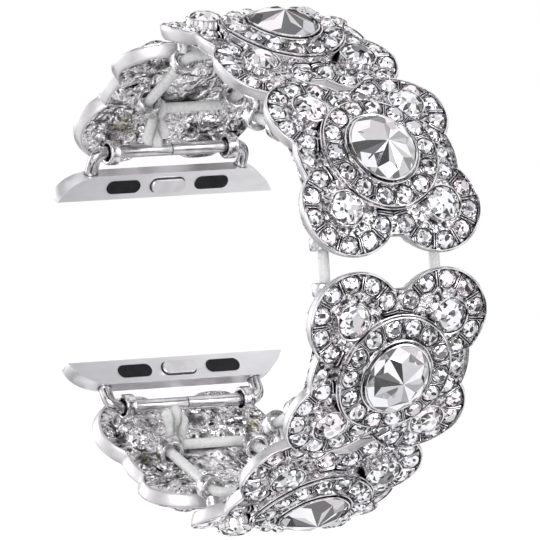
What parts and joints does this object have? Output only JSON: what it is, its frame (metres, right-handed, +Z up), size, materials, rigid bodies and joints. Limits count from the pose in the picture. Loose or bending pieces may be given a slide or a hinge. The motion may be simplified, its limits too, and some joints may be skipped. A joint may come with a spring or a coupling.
{
  "type": "watch band",
  "caption": "Stretch bracelet band of curved, stone-set cast links on clear elastic loops, with a hinged lug adapter at each open end for a small watch.",
  "frame": {"origin": "middle of the wrist space, half way along the band's length and width", "axes": "+X from the watch gap to the two front links, +Y across the band, +Z up towards the upper links"},
  "size_m": [0.054, 0.0272, 0.0576],
  "materials": {
    "casting": "polished plate over cast alloy",
    "stones": "cut and polished glass",
    "elastic": "clear elastic",
    "lug": "satin",
    "horns": "bright polished",
    "sleeves": "drawn",
    "steel": "bare",
    "pads": "matte moulded"
  },
  "bodies": {
    "link_1": {"link_1_casting": "casting", "link_1_centre_stone": "stones", "link_1_corner_stones": "stones", "link_1_small_stones": "stones"},
    "link_2": {"link_2_casting": "casting", "link_2_centre_stone": "stones", "link_2_corner_stones": "stones", "link_2_small_stones": "stones", "elastic_1_2": "elastic"},
    "link_3": {"link_3_casting": "casting", "link_3_centre_stone": "stones", "link_3_corner_stones": "stones", "link_3_small_stones": "stones", "elastic_2_3": "elastic", "elastic_3_4": "elastic"},
    "link_4": {"link_4_casting": "casting", "link_4_centre_stone": "stones", "link_4_corner_stones": "stones", "link_4_small_stones": "stones", "elastic_4_5": "elastic"},
    "link_5": {"link_5_casting": "casting", "link_5_centre_stone": "stones", "link_5_corner_stones": "stones", "link_5_small_stones": "stones", "elastic_5_6": "elastic"},
    "link_6": {"link_6_casting": "casting", "link_6_centre_stone": "stones", "link_6_corner_stones": "stones", "link_6_small_stones": "stones"},
    "upper_adapter": {"upper_lug": "lug", "upper_horn_left": "horns", "upper_horn_right": "horns", "upper_pin": "steel", "upper_sleeve_left": "sleeves", "upper_sleeve_right": "sleeves", "upper_pad_left": "pads", "upper_pad_right": "pads", "upper_lock_spring": "steel"},
    "upper_lock": {"upper_lock_button": "steel"},
    "lower_adapter": {"lower_lug": "lug", "lower_horn_left": "horns", "lower_horn_right": "horns", "lower_pin": "steel", "lower_sleeve_left": "sleeves", "lower_sleeve_right": "sleeves", "lower_pad_left": "pads", "lower_pad_right": "pads", "lower_lock_spring": "steel"},
    "lower_lock": {"lower_lock_button": "steel"}
  },
  "joints": [
    {"name": "link_2_hinge", "type": "hinge", "parent": "link_3", "child": "link_2", "pos_m": [0.01303, 0, 0.01882], "axis": [0, 1, 0], "range_deg": [-7, 16], "stiffness_Nm_per_rad": 0.2, "deforming": ["elastic_2_3"]},
    {"name": "link_1_hinge", "type": "hinge", "parent": "link_2", "child": "link_1", "pos_m": [-0.00831, 0, 0.0258], "axis": [0, 1, 0], "range_deg": [-7, 16], "stiffness_Nm_per_rad": 0.2, "deforming": ["elastic_1_2"]},
    {"name": "link_4_hinge", "type": "hinge", "parent": "link_3", "child": "link_4", "pos_m": [0.02419, 0, 0], "axis": [0, -1, 0], "range_deg": [-7, 16], "stiffness_Nm_per_rad": 0.2, "deforming": ["elastic_3_4"]},
    {"name": "link_5_hinge", "type": "hinge", "parent": "link_4", "child": "link_5", "pos_m": [0.01303, 0, -0.01882], "axis": [0, -1, 0], "range_deg": [-7, 16], "stiffness_Nm_per_rad": 0.2, "deforming": ["elastic_4_5"]},
    {"name": "link_6_hinge", "type": "hinge", "parent": "link_5", "child": "link_6", "pos_m": [-0.00831, 0, -0.0258], "axis": [0, -1, 0], "range_deg": [-7, 16], "stiffness_Nm_per_rad": 0.2, "deforming": ["elastic_5_6"]},
    {"name": "upper_adapter_hinge", "type": "hinge", "parent": "link_1", "child": "upper_adapter", "pos_m": [-0.02266, 0, 0.01409], "axis": [0, 1, 0], "range_deg": [-75, 10]},
    {"name": "lower_adapter_hinge", "type": "hinge", "parent": "link_6", "child": "lower_adapter", "pos_m": [-0.02266, 0, -0.01409], "axis": [0, -1, 0], "range_deg": [-75, 10]},
    {"name": "upper_lock_slide", "type": "slide", "parent": "upper_adapter", "child": "upper_lock", "axis": [-0.866, 0, 0.5], "range_m": [0, 0.0004], "stiffness_N_per_m": 400, "deforming": ["upper_lock_spring"]},
    {"name": "lower_lock_slide", "type": "slide", "parent": "lower_adapter", "child": "lower_lock", "axis": [-0.866, 0, -0.5], "range_m": [0, 0.0004], "stiffness_N_per_m": 400, "deforming": ["lower_lock_spring"]}
  ]
}
